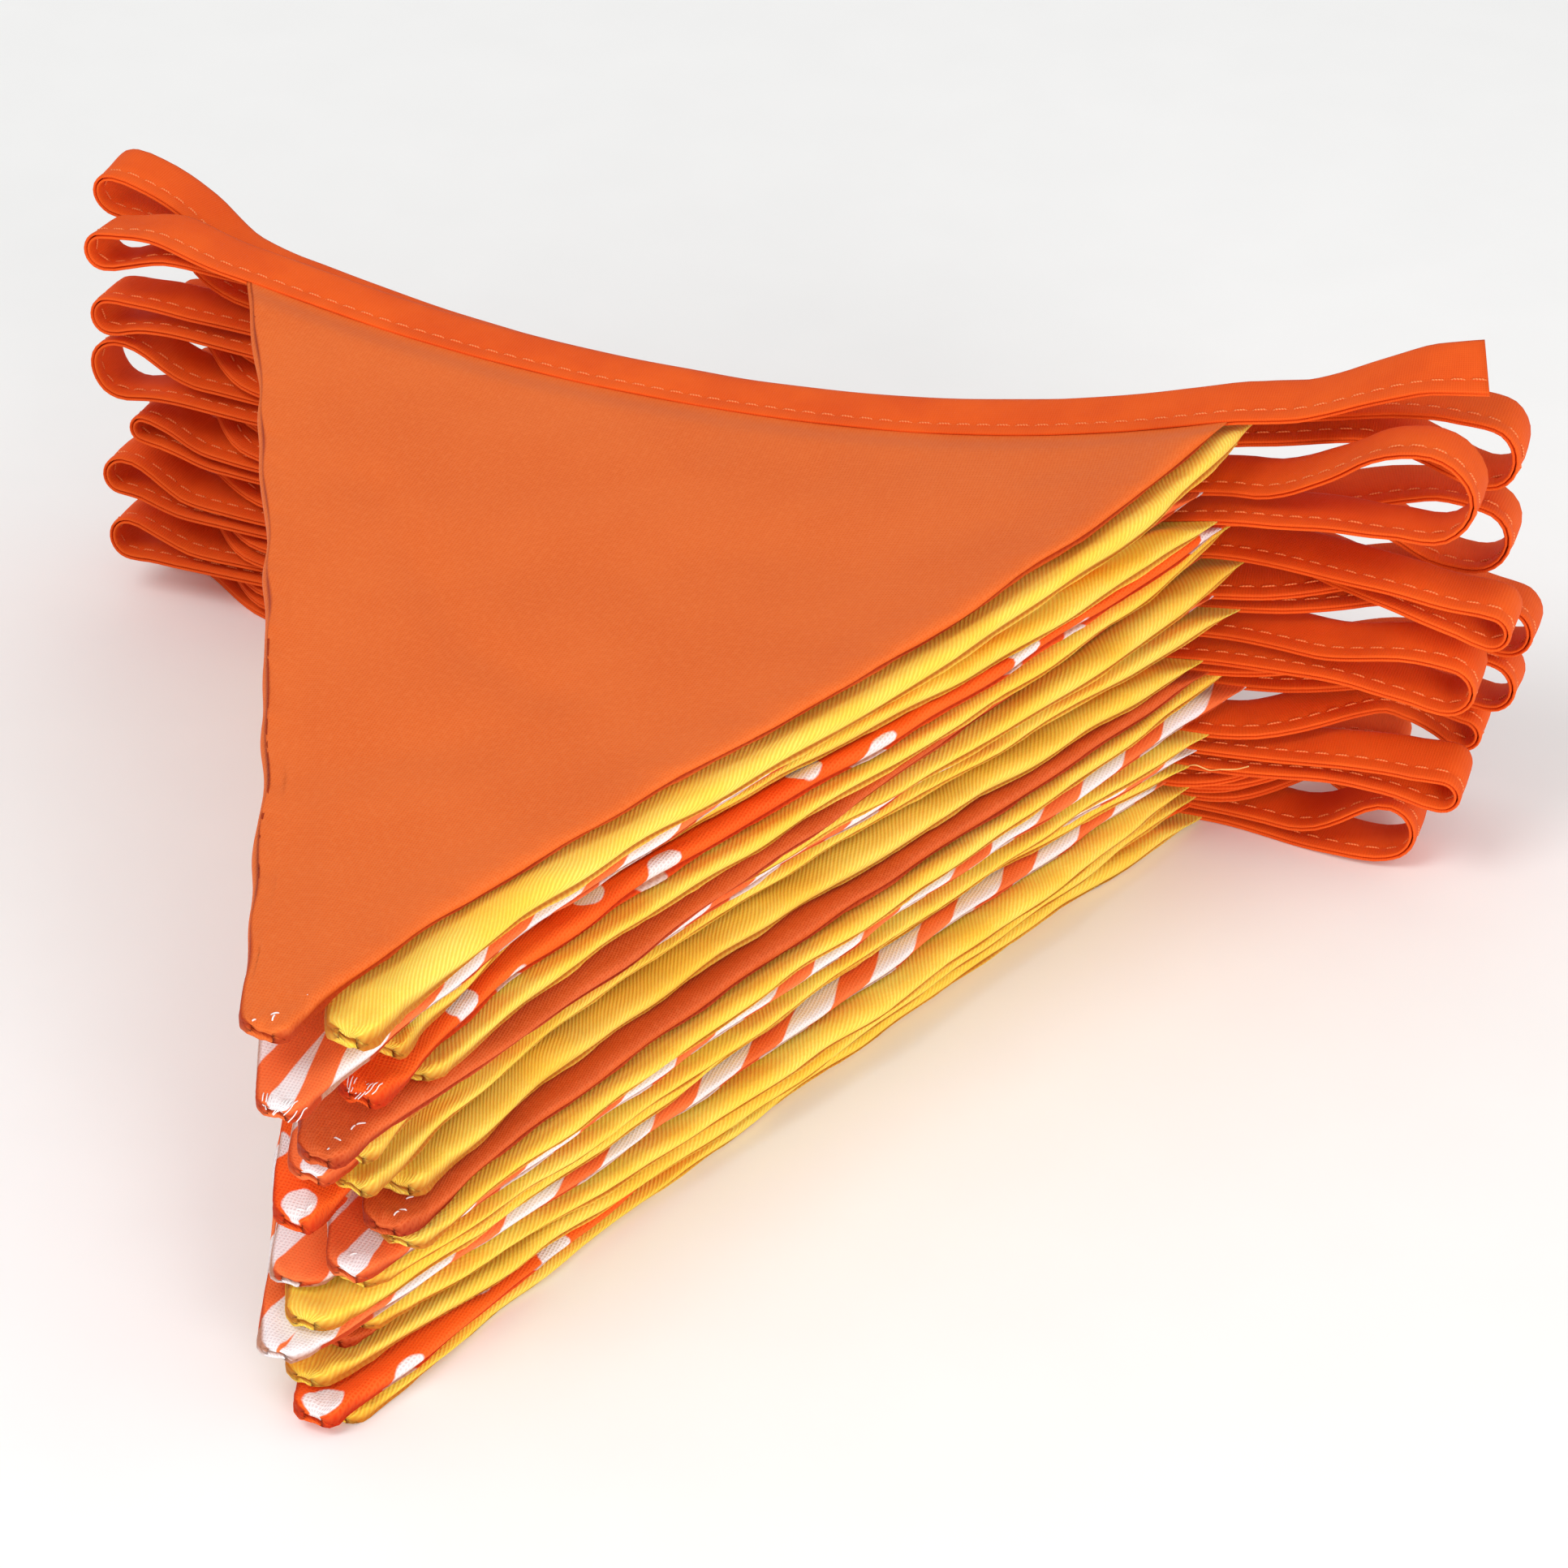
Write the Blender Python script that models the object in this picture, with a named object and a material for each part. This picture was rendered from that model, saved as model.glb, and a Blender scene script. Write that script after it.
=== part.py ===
"""Fabric bunting, folded back and forth into a stack: 25 double-sided triangular flags sewn along one
folded tape. The tape runs along each flag's top edge and turns back on itself in a loop between
one flag and the next, at the left and at the right in turn.

X runs along the flags' top edges, the tips point to -Y, and the stack lies on z = 0."""

import math

import bmesh
import bpy
from mathutils import Vector

MM = 0.001

# The flags
FLAG_WIDTH = 200 * MM
FLAG_LENGTH = 215 * MM
TIP_WIDTH = 8 * MM
TOP_SAG = 3 * MM
SEAM_INSET = 3 * MM
SEAM_THINNING = 0.55

# The tape, folded double and sewn along its open edge
TAPE_WIDTH = 13 * MM
TAPE_THICKNESS = 1.7 * MM
GAP = 0.3 * MM

# The stack: its height over the middle of the top edge, how much more at its corners, and how much
# more again for each half width past them
STACK_HEIGHT = 77 * MM
LEFT_LIFT = 10 * MM
RIGHT_LIFT = 14.5 * MM
LIFT_POWER = 2.2
PAST_CORNERS = 1.4
BACK_SLOPE = 0.15
TIP_LIFT = 1 * MM

# How much thicker than the mean the top layer is, and how much thinner the bottom one
LOFT_TOP = 1.22
LOFT_BOTTOM = 0.78
LAYER_GAP = 0.7 * MM

# Ripples between one layer and the next, as a share of the layer's height. Each layer's ripples lie
# further on than those of the layer below.
RIPPLE = 0.11
RIPPLE_ALONG = 190 * MM
RIPPLE_ACROSS = 230 * MM
ALONG_STEP = 2.4
ACROSS_STEP = 4.1
RIPPLE_START = 60 * MM

# The tape runs straight this far past each flag's corners
RUN_ON = 1.5 * MM

# Grid lines of each flag, as shares of its width and of its length
FLAG_ACROSS = (0.17, 0.34, 0.5, 0.66, 0.83)
FLAG_DOWN = (0.0, 0.06, 0.24, 0.43, 0.62, 0.81, 0.96, 1.0)
NARROWEST_INSET = 0.8

# Stations of a loop's two strands as shares of their length, and by which share a strand has moved aside
STRAND_ALONG = (0.12, 0.24, 0.37, 0.5, 0.63, 0.76, 0.88, 1.0)
NOSE_STEPS = 6
ASIDE_BY = 0.85

COLOURS = {
    "plain": (0.78, 0.17, 0.035, 1.0),
    "twill": (0.87, 0.53, 0.05, 1.0),
    "dots": (0.95, 0.1, 0.005, 1.0),
    "zigzag": (0.88, 0.45, 0.3, 1.0),
    "tape": (0.85, 0.1, 0.01, 1.0),
}

# Each flag from the top of the stack down: its cloth, how far its left corner, its right corner and
# its tip lie from a straight stack's, how far its two long sides bow out, and how much more the right
# one stands out near its corner than near its tip, in millimetres.
FLAG_COLUMNS = (
    "cloth", "left_x", "left_y", "right_x", "right_y", "tip_x", "tip_y", "left_bow", "right_bow", "shoulder"
)
FLAG_ROWS = (
    ("plain", -1, 0, 0, 0, -2, 1, -4, -1.5, 11),
    ("twill", 2, 6, 4, 7, 9.5, 8, -5, -0.4, 14.5),
    ("twill", 4, 14, 1, 6, 9, 18, -5, -5.7, 11),
    ("zigzag", -2, 10, -3, -4, 2, -4, -4, -8, 4),
    ("twill", 0, 7, 1, -8, 10, 20, -5, -9.9, 12.1),
    ("dots", 1, 5, 2, -1, 9, 12, -4, -7.3, 9.6),
    ("twill", 2, 8, 2, 6, 13, 24, -4, -1.8, 7.8),
    ("plain", 1, 3, -3, 0, 5, 3, -4, -1.3, 0.5),
    ("twill", 1, 6, 5, 6, 8, 10, -4, -6, 13),
    ("zigzag", 0, 4, 0, -2, 2, 6, -5, -6, 5),
    ("twill", 2, 6, 5, 0, 8, 9, -4, -12, 5),
    ("dots", 0, 2, -2, -4, 1, 1, -4, -16, 4),
    ("twill", 0, 3, 0, -8, 12, 18, -5, -7.2, 4.6),
    ("plain", 2, 4, 1, -6, 12, 11, -4, -4.5, 3.2),
    ("twill", 4, 7, 5, 4, 14, 12, -3, -1.3, 3.1),
    ("zigzag", 2, 5, 7, 1, 8, 5, -4, -2.5, 0.3),
    ("twill", 1, 4, 3, -12, 8, 8, -5, -1.7, -3),
    ("zigzag", -1, 4, 1, -13, -3, 6, -5, -4, -2),
    ("twill", 0, 3, 0, -14, 2, 0, -5, -3.7, -6.9),
    ("zigzag", -1, 2, -4, -16, -1, -5, -5, 0.9, -1.7),
    ("twill", 2, 5, 0, -11, 6, 9, -4, 4.4, 0.5),
    ("plain", 1, 4, -2, -8, 3, 6, -6, -2, 0),
    ("twill", 0, 4, 0, -6, 2, -2, -7, 2.5, -1.3),
    ("dots", 1, 3, -1, -5, 6, -7, -6, -5.6, -5.2),
    ("twill", 2, 4, 1, -4, 8, -3, -6, -3.4, 0.8),
)

# Each loop from the top of the stack down: how far its nose reaches from the middle of the stack,
# where the nose lies in depth and in height, its radius, all in millimetres, how far it leans towards
# the tips, in degrees, and the share of its length over which its strands still lie in their layers.
LOOP_COLUMNS = ("reach", "depth", "height", "radius", "lean", "hold")
RIGHT_LOOPS = (
    (154, 16, 84.3, 6.3, 0, 0.4),
    (150, -5, 85.0, 8.8, -4, 0.2),
    (154, 16, 65.2, 7.0, -6, 0.4),
    (158, -4, 59.0, 3.2, 0, 0.5),
    (160, 17, 45.6, 5.2, -7, 0.5),
    (153, -4, 45.3, 5.4, 2, 0.45),
    (158, 16, 33.0, 4.8, -10, 0.5),
    (152, 16, 22.5, 3.0, 0, 0.55),
    (152, -4, 21.0, 3.2, 4, 0.5),
    (137, 17, 13.0, 2.4, 0, 0.6),
    (130, 18, 5.1, 2.0, 0, 0.6),
    (145, -1, 7.5, 5.5, -3, 0.5),
)
LEFT_LOOPS = (
    (140, 12, 81.8, 3.4, -8, 0.5),
    (147, 31, 84.6, 4.2, 2, 0.3),
    (140, 12, 67.4, 3.4, -4, 0.5),
    (133, 28, 60.0, 3.2, 0, 0.6),
    (142, 12, 54.4, 5.8, -8, 0.5),
    (131, 28, 44.5, 3.0, 0, 0.6),
    (134, 12, 41.0, 2.4, -5, 0.5),
    (139, 28, 34.6, 3.0, -5, 0.6),
    (141, 12, 29.0, 3.9, -4, 0.55),
    (134, 28, 18.6, 3.0, 0, 0.6),
    (141, 12, 13.6, 4.2, -4, 0.55),
    (130, 28, 6.3, 2.0, 0, 0.6),
)

# The tape's two cut ends: the upper one rises clear at the right, and the lower one lies at the left
TOP_END = {"reach": 148, "depth": 7, "height": 104.6, "lean": 21, "hold": 0.2}
BOTTOM_END = {"reach": 134, "depth": 26, "height": 1.0, "lean": 0, "hold": 0.6}


def table(columns, rows):
    """The rows as dictionaries, so that each value is read by its column's name."""
    return [dict(zip(columns, row)) for row in rows]


FLAGS = table(FLAG_COLUMNS, FLAG_ROWS)
COUNT = len(FLAGS)


def mix(start, end, share):
    return start + (end - start) * share


def ease(share):
    """A soft step from 0 to 1."""
    share = min(1.0, max(0.0, share))
    return share * share * (3 - 2 * share)


def layer_shares():
    """The share of the stack's height under each layer's foot, from the bottom flag's to the top."""
    lofts = [mix(LOFT_BOTTOM, LOFT_TOP, i / (COUNT - 1)) for i in range(COUNT)]
    shares = [0.0]
    for loft in lofts:
        shares.append(shares[-1] + loft / sum(lofts))
    return shares


SHARES = layer_shares()


def stack_height(x, y):
    """The height of the whole stack over a point: it rises to its left and right corners."""
    off_middle = abs(x) / (FLAG_WIDTH / 2)
    inside = min(1.0, off_middle)
    lift = RIGHT_LIFT if x > 0 else LEFT_LIFT
    rise = lift * (inside**LIFT_POWER + PAST_CORNERS * (off_middle - inside))
    down = min(1.0, max(0.0, -y / FLAG_LENGTH))
    back = BACK_SLOPE * max(0.0, y) * inside if x > 0 else 0.0
    return STACK_HEIGHT + rise + TIP_LIFT * down + back


def interface(level, x, y):
    """The height over a point of the surface between two layers: 0 is under the bottom flag."""
    if level == 0:
        return 0.0
    whole = stack_height(x, y)
    thickness = whole * (SHARES[level] - SHARES[level - 1])
    along = math.sin(math.tau * x / RIPPLE_ALONG + level * ALONG_STEP)
    across = math.cos(math.tau * y / RIPPLE_ACROSS + level * ACROSS_STEP)
    return whole * SHARES[level] + RIPPLE * thickness * along * across * ease(-y / RIPPLE_START)


def layer(index, x, y):
    """The foot and the top over a point of the layer that holds one flag, counted from the top one."""
    level = COUNT - 1 - index
    foot = interface(level, x, y)
    top = interface(level + 1, x, y)
    return foot + (LAYER_GAP / 2 if level else 0.0), top - LAYER_GAP / 2


def corner(flag, name, x, y):
    return Vector((x + flag[name + "_x"] * MM, y + flag[name + "_y"] * MM))


def corners(flag):
    """The left corner, the right corner and the tip of a flag, seen from above."""
    left = corner(flag, "left", -FLAG_WIDTH / 2, 0)
    right = corner(flag, "right", FLAG_WIDTH / 2, 0)
    tip = corner(flag, "tip", 0, -FLAG_LENGTH)
    return left, right, tip


def top_edge(flag, x):
    """The y of a flag's top edge at x. Past the corners the line runs on straight."""
    left, right, _ = corners(flag)
    share = (x - left.x) / (right.x - left.x)
    inside = min(1.0, max(0.0, share))
    return mix(left.y, right.y, share) - TOP_SAG * 4 * inside * (1 - inside)


def flag_point(flag, across, down):
    """A point of the flag's outline, seen from above, at shares of its width and of its length."""
    left, right, tip = corners(flag)
    half_tip = Vector((TIP_WIDTH / 2, 0))
    first = left.lerp(tip - half_tip, down)
    last = right.lerp(tip + half_tip, down)
    bow = 4 * down * (1 - down)
    first.x -= flag["left_bow"] * MM * bow
    last.x += (flag["right_bow"] + flag["shoulder"] * (1 - 2 * down)) * MM * bow
    point = first.lerp(last, across)
    point.y -= TOP_SAG * 4 * across * (1 - across) * (1 - down)
    return point


def across_lines(flag, down):
    """The grid lines across one row of a flag: its two edges, a line just inside each, and the rest."""
    width = (flag_point(flag, 1, down) - flag_point(flag, 0, down)).length
    inset = min(SEAM_INSET / width, FLAG_ACROSS[0] * NARROWEST_INSET)
    return (0.0, inset, *FLAG_ACROSS, 1 - inset, 1.0)


def flag_mesh(index):
    """A closed sheet that fills its layer of the stack, thinner along its seams."""
    flag = FLAGS[index]
    mesh = bmesh.new()
    upper, lower = [], []
    for down in FLAG_DOWN:
        lines = across_lines(flag, down)
        above, below = [], []
        for across in lines:
            point = flag_point(flag, across, down)
            foot, top = layer(index, point.x, point.y)
            at_edge = across in (0.0, 1.0) or down in (0.0, 1.0)
            half = (top - foot) / 2 * (SEAM_THINNING if at_edge else 1.0)
            middle = (foot + top) / 2
            above.append(mesh.verts.new((point.x, point.y, middle + half)))
            below.append(mesh.verts.new((point.x, point.y, middle - half)))
        upper.append(above)
        lower.append(below)
    sheet_faces(mesh, upper, lower)
    return mesh


def sheet_faces(mesh, upper, lower):
    """Faces over, under and round a grid of points."""
    rows, columns = len(upper), len(upper[0])
    for r in range(rows - 1):
        for c in range(columns - 1):
            mesh.faces.new((upper[r][c], upper[r + 1][c], upper[r + 1][c + 1], upper[r][c + 1]))
            mesh.faces.new((lower[r][c], lower[r][c + 1], lower[r + 1][c + 1], lower[r + 1][c]))
    for c in range(columns - 1):
        mesh.faces.new((upper[0][c], upper[0][c + 1], lower[0][c + 1], lower[0][c]))
        mesh.faces.new((upper[-1][c + 1], upper[-1][c], lower[-1][c], lower[-1][c + 1]))
    for r in range(rows - 1):
        mesh.faces.new((upper[r + 1][0], upper[r][0], lower[r][0], lower[r + 1][0]))
        mesh.faces.new((upper[r][-1], upper[r + 1][-1], lower[r + 1][-1], lower[r][-1]))


def run_section(index, x):
    """The tape's four corners over a point of its straight run along one flag's top edge."""
    front = top_edge(FLAGS[index], x) + GAP
    back = front + TAPE_WIDTH
    section = []
    for y in (front, back):
        foot = layer(index, x, y)[0]
        section.append(Vector((x, y, foot)))
        section.append(Vector((x, y, foot + TAPE_THICKNESS)))
    front_foot, front_top, back_foot, back_top = section
    return front_top, back_top, back_foot, front_foot


def straight_run(index, side):
    """The sections along one flag, from the other side of the stack to this one."""
    on_flag = [flag_point(FLAGS[index], across, 0).x for across in (0, *FLAG_ACROSS, 1)]
    places = [on_flag[0] - RUN_ON, *on_flag, on_flag[-1] + RUN_ON]
    return [run_section(index, x) for x in (places if side > 0 else reversed(places))]


def middle_of(section):
    return sum(section, Vector()) / len(section)


def turned_section(point, along, lean, flip):
    """A section across the tape's path, its back edge raised by an angle. Going back, it is upside down."""
    width = Vector((0, math.cos(lean), math.sin(lean)))
    along = along.normalized()
    width = (width - along * width.dot(along)).normalized()
    out = along.cross(width) * flip
    half_width, half_thick = width * TAPE_WIDTH / 2, out * TAPE_THICKNESS / 2
    front_top, back_top = point - half_width + half_thick, point + half_width + half_thick
    back_foot, front_foot = point + half_width - half_thick, point - half_width - half_thick
    return front_top, back_top, back_foot, front_foot


def strand(index, start, end, row):
    """Points of one of a loop's strands, each with its lean: it moves aside within its own layer first,
    and then takes the height and the lean of the nose."""
    stations = []
    for share in STRAND_ALONG:
        x = mix(start.x, end.x, share)
        y = mix(start.y, end.y, ease(share / ASIDE_BY))
        front_foot, back_foot = layer(index, x, y - TAPE_WIDTH / 2)[0], layer(index, x, y + TAPE_WIDTH / 2)[0]
        in_layer = (front_foot + back_foot + TAPE_THICKNESS) / 2
        layer_lean = math.atan2(back_foot - front_foot, TAPE_WIDTH)
        free = ease((share - row["hold"]) / (1 - row["hold"]))
        point = Vector((x, y, mix(in_layer, end.z, free)))
        stations.append((point, mix(layer_lean, math.radians(row["lean"]), free)))
    return stations


def loop_path(index, upper, lower, side, row):
    """The points of a loop from one flag's layer round its nose to the next one's, each with its lean."""
    lean = math.radians(row["lean"])
    radius = row["radius"] * MM
    rise = Vector((0, -math.sin(lean), math.cos(lean))) * radius
    centre_x = side * (row["reach"] * MM - radius - TAPE_THICKNESS / 2)
    nose = Vector((centre_x, row["depth"] * MM, row["height"] * MM))
    path = strand(index, upper, nose + rise, row)
    for step in range(1, NOSE_STEPS):
        angle = math.pi * step / NOSE_STEPS
        out = Vector((side * radius * math.sin(angle), 0, 0))
        path.append((nose + rise * math.cos(angle) + out, lean))
    return path + list(reversed(strand(index + 1, lower, nose - rise, row)))


def loop_sections(index, upper_section, lower_section, side, row):
    """The sections of a loop. The tape's upper face stays outside all the way round."""
    upper, lower = middle_of(upper_section), middle_of(lower_section)
    path = loop_path(index, upper, lower, side, row)
    points = [upper] + [point for point, _ in path] + [lower]
    sections = []
    for i, (point, lean) in enumerate(path, start=1):
        sections.append(turned_section(point, points[i + 1] - points[i - 1], lean, side))
    return sections


def end_sections(index, start_section, side, row):
    """The sections of a cut end of the tape."""
    start = middle_of(start_section)
    end = Vector((side * row["reach"] * MM, row["depth"] * MM, row["height"] * MM))
    path = strand(index, start, end, row)
    points = [start] + [point for point, _ in path]
    sections = []
    for i, (point, lean) in enumerate(path, start=1):
        following = points[min(i + 1, len(points) - 1)]
        sections.append(turned_section(point, following - points[i - 1], lean, side))
    return sections


def tape_sections():
    """Every section of the tape in order, from its upper cut end at the right to its lower one."""
    side = 1
    runs = []
    for index in range(COUNT):
        side = -side
        runs.append((side, straight_run(index, side)))
    loops = {-1: iter(table(LOOP_COLUMNS, LEFT_LOOPS)), 1: iter(table(LOOP_COLUMNS, RIGHT_LOOPS))}
    sections = list(reversed(end_sections(0, runs[0][1][0], 1, TOP_END)))
    for index, (side, run) in enumerate(runs):
        if index == COUNT - 1:
            piece = run + end_sections(index, run[-1], side, BOTTOM_END)
        else:
            piece = run + loop_sections(index, run[-1], runs[index + 1][1][0], side, next(loops[side]))
        sections += [flipped(section) if index % 2 else section for section in piece]
    return sections


def flipped(section):
    """The same section with its upper and its lower face changed over."""
    front_top, back_top, back_foot, front_foot = section
    return front_foot, back_foot, back_top, front_top


def tape_mesh():
    """The tape as one closed band through its sections."""
    mesh = bmesh.new()
    rings = [[mesh.verts.new(point) for point in section] for section in tape_sections()]
    for ring, following in zip(rings, rings[1:]):
        for i in range(4):
            j = (i + 1) % 4
            mesh.faces.new((ring[i], ring[j], following[j], following[i]))
    mesh.faces.new(rings[0])
    mesh.faces.new(list(reversed(rings[-1])))
    return mesh


def cloth(name):
    """A plain matt material in the cloth's colour."""
    material = bpy.data.materials.new(name)
    material.use_nodes = True
    shader = material.node_tree.nodes["Principled BSDF"]
    shader.inputs["Base Color"].default_value = COLOURS[name]
    shader.inputs["Roughness"].default_value = 0.85
    shader.inputs["Metallic"].default_value = 0.0
    return material


def add_object(name, mesh, material):
    """A new object from a mesh, with its faces turned outwards and shaded smooth."""
    bmesh.ops.recalc_face_normals(mesh, faces=mesh.faces)
    data = bpy.data.meshes.new(name)
    mesh.to_mesh(data)
    mesh.free()
    data.materials.append(material)
    data.shade_smooth()
    data.set_sharp_from_angle(angle=math.radians(40))
    item = bpy.data.objects.new(name, data)
    bpy.context.collection.objects.link(item)
    return item


def centre_on_origin(items):
    """Moves the meshes so that the middle of the whole object's footprint is at the origin."""
    points = [vertex.co for item in items for vertex in item.data.vertices]
    middle_x = (min(p.x for p in points) + max(p.x for p in points)) / 2
    middle_y = (min(p.y for p in points) + max(p.y for p in points)) / 2
    for item in items:
        for vertex in item.data.vertices:
            vertex.co.x -= middle_x
            vertex.co.y -= middle_y


def build():
    for item in list(bpy.data.objects):
        bpy.data.objects.remove(item, do_unlink=True)
    materials = {name: cloth(name) for name in COLOURS}
    items = [add_object("tape", tape_mesh(), materials["tape"])]
    for index, flag in enumerate(FLAGS):
        items.append(add_object(f"flag_{index + 1:02d}", flag_mesh(index), materials[flag["cloth"]]))
    centre_on_origin(items)


build()
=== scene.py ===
"""Fabric bunting, folded back and forth into a stack: 25 double-sided triangular flags of plain, ribbed,
dotted and zigzag cotton, sewn along one folded tape that loops out at the left and at the right."""

import math

import bpy
import numpy as np
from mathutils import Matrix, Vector


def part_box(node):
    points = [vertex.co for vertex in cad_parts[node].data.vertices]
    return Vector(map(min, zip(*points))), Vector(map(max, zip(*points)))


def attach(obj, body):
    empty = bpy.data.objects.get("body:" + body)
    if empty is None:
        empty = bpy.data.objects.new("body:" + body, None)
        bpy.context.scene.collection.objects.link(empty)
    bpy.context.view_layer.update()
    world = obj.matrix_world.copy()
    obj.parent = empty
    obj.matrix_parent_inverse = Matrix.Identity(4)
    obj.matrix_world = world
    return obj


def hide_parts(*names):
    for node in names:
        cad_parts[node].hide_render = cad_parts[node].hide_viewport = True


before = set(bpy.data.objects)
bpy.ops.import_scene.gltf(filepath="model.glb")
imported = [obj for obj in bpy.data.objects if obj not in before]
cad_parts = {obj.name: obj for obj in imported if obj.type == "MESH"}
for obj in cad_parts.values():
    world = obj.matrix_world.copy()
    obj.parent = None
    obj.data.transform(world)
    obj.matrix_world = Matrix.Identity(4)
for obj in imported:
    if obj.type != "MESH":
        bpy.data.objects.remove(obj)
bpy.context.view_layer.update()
bpy.ops.object.select_all(action="DESELECT")

# All sizes are in millimetres, and MM takes them to the scene's metres
MM = 0.001


# --- The cloths -------------------------------------------------------------------------------------
# The flags are cut from four kinds of cotton: a plain sateen in two oranges, a yellow twill with a fine
# steep rib, and two that are plain-woven and printed on the face, one orange with white dots and one with
# orange and white zigzag stripes.

# The wave texture's period at a scale of 1, and how high the weft lies beside the warp
WAVE_PERIOD = math.pi / 10
WEFT_HEIGHT = 0.9


def linear(code):
    """A colour written as sRGB hex, as the linear values that Blender works in."""
    channels = [int(code[i : i + 2], 16) / 255 for i in (1, 3, 5)]
    return (*[c / 12.92 if c <= 0.04045 else ((c + 0.055) / 1.055) ** 2.4 for c in channels], 1.0)


def add(tree, kind, inputs=None, out=0, **settings):
    """Adds a shader node with its settings, and gives one of its outputs. Each input, by its name or number,
    takes a value or the output that feeds it."""
    made = tree.nodes.new("ShaderNode" + kind)
    for name, value in settings.items():
        setattr(made, name, value)
    for name, value in (inputs or {}).items():
        if isinstance(value, bpy.types.NodeSocket):
            tree.links.new(value, made.inputs[name])
        else:
            made.inputs[name].default_value = value
    return made.outputs[out]


def cotton(name, roughness, sheen, bloom):
    """A cotton with nothing on it yet: its nodes, its shader and its own flat coordinates in millimetres.
    Cotton is matt, with a soft bloom of loose fibres in its own colour, which the sheen stands for."""
    material = bpy.data.materials.new(name)
    material.use_nodes = True
    tree = material.node_tree
    shader = tree.nodes["Principled BSDF"]
    looks = {
        "Roughness": roughness, "IOR": 1.5, "Specular IOR Level": 0.15,
        "Sheen Weight": sheen, "Sheen Tint": linear(bloom), "Sheen Roughness": 0.5,
    }
    for look, value in looks.items():
        shader.inputs[look].default_value = value
    return material, tree, shader, add(tree, "UVMap", uv_map="cloth")


def threads(tree, flat, pitch, angle=0.0, uneven=0.5):
    """Parallel threads or ribs at a pitch in millimetres, turned by an angle in degrees, from 0 to 1."""
    turned = add(tree, "Mapping", {"Vector": flat, "Rotation": (0, 0, math.radians(angle))})
    lines = {"Vector": turned, "Scale": WAVE_PERIOD / pitch, "Distortion": uneven, "Detail": 1.0}
    lines["Detail Scale"] = 0.35 * pitch
    return add(tree, "TexWave", lines, out="Fac", bands_direction="X")


def woven(tree, flat, pitch):
    """Threads over and under each other at a pitch in millimetres, from 0 to 1."""
    warp, weft = threads(tree, flat, pitch), threads(tree, flat, pitch, angle=90)
    weft = add(tree, "Math", {0: weft, 1: WEFT_HEIGHT}, operation="MULTIPLY")
    return add(tree, "Math", {0: warp, 1: weft}, operation="MAXIMUM")


def dyed(tree, flat, darker, lighter, size):
    """A cloth's ground colour, never quite even: soft patches of a size in millimetres."""
    patches = {"Vector": flat, "Scale": 1 / size, "Detail": 3.0, "Roughness": 0.6}
    patches = add(tree, "TexNoise", patches, out="Fac")
    spread = {"Value": patches, "From Min": 0.3, "From Max": 0.7}
    spread = add(tree, "MapRange", spread, interpolation_type="SMOOTHSTEP")
    between = {0: spread, 6: linear(darker), 7: linear(lighter)}
    return add(tree, "Mix", between, out=2, data_type="RGBA")


def tinted(tree, share, shade, colour, amount=1.0):
    """A shade with some of a colour laid over it where a share from 0 to 1 says so."""
    share = add(tree, "Math", {0: share, 1: amount}, operation="MULTIPLY")
    return add(tree, "Mix", {0: share, 6: shade, 7: colour}, out=2, data_type="RGBA")


def surfaced(tree, shader, shade, height, depth):
    """Joins a colour and a surface, raised by a height from 0 to 1 times a depth, to a shader."""
    tree.links.new(shade, shader.inputs["Base Color"])
    bump = add(tree, "Bump", {"Height": height, "Strength": 1.0, "Distance": depth * MM})
    tree.links.new(bump, shader.inputs["Normal"])


def seam_shaded(tree, shader, shade, height, depth):
    """Finishes a cloth, with painted shade in the seam's hollow: within 0.9 mm of the seam, whose distance
    each flag carries, the colour is darkened, fully at 0.25 mm.
    """
    distance = add(tree, "Attribute", out="Fac", attribute_name="from_seam")
    hollow_shade = add(tree, "MapRange", {"Value": distance, "From Min": 0.9, "From Max": 0.25})
    # Painted shade in the seam's hollow: the colour is multiplied by a warm grey there
    darker = {0: hollow_shade, 6: shade, 7: linear("#C08A70")}
    shade = add(tree, "Mix", darker, out=2, data_type="RGBA", blend_type="MULTIPLY")
    surfaced(tree, shader, shade, height, depth)


def sateen(name, darker, lighter, fleck_and_highlight):
    """Sateen: threads at 0.25 mm, drawn at 0.6 mm so that they show; they float, so it has a faint gloss.
    The threads' crests carry a painted highlight in the pale fleck colour. Its thicker threads, the slubs,
    show as short pale flecks, about 1.1 mm long."""
    material, tree, shader, flat = cotton(name, roughness=0.62, sheen=0.02, bloom=fleck_and_highlight)
    weave = woven(tree, flat, pitch=0.6)
    flecks = add(tree, "TexNoise", {"Vector": flat, "Scale": 1 / 1.1, "Detail": 3.0}, out="Fac")
    flecks = add(tree, "MapRange", {"Value": flecks, "From Min": 0.45, "From Max": 0.7})
    shade = dyed(tree, flat, darker, lighter, size=34)
    shade = tinted(tree, flecks, shade, linear(fleck_and_highlight), amount=0.25)
    # Painted highlight: the threads' crests are tinted towards the pale fleck colour
    shade = tinted(tree, weave, shade, linear(fleck_and_highlight), amount=0.4)
    seam_shaded(tree, shader, shade, weave, depth=0.06)
    return material


# The top flag's sateen is orange. The other plain flags are cut from a deeper, rust-orange one.
orange = sateen("orange_sateen", "#DC5B17", "#E26320", "#F07F40")
rust = sateen("rust_sateen", "#C4440E", "#D65218", "#F27E48")

# Twill: ribs 0.68 mm apart, drawn at 0.78 mm so that they show, steep across the flag, with the filling
# threads between them. The hollows between the ribs carry painted shade in a deeper, orange yellow.
twill, tree, shader, flat = cotton("yellow_twill", roughness=0.78, sheen=0.1, bloom="#FFE890")
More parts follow.
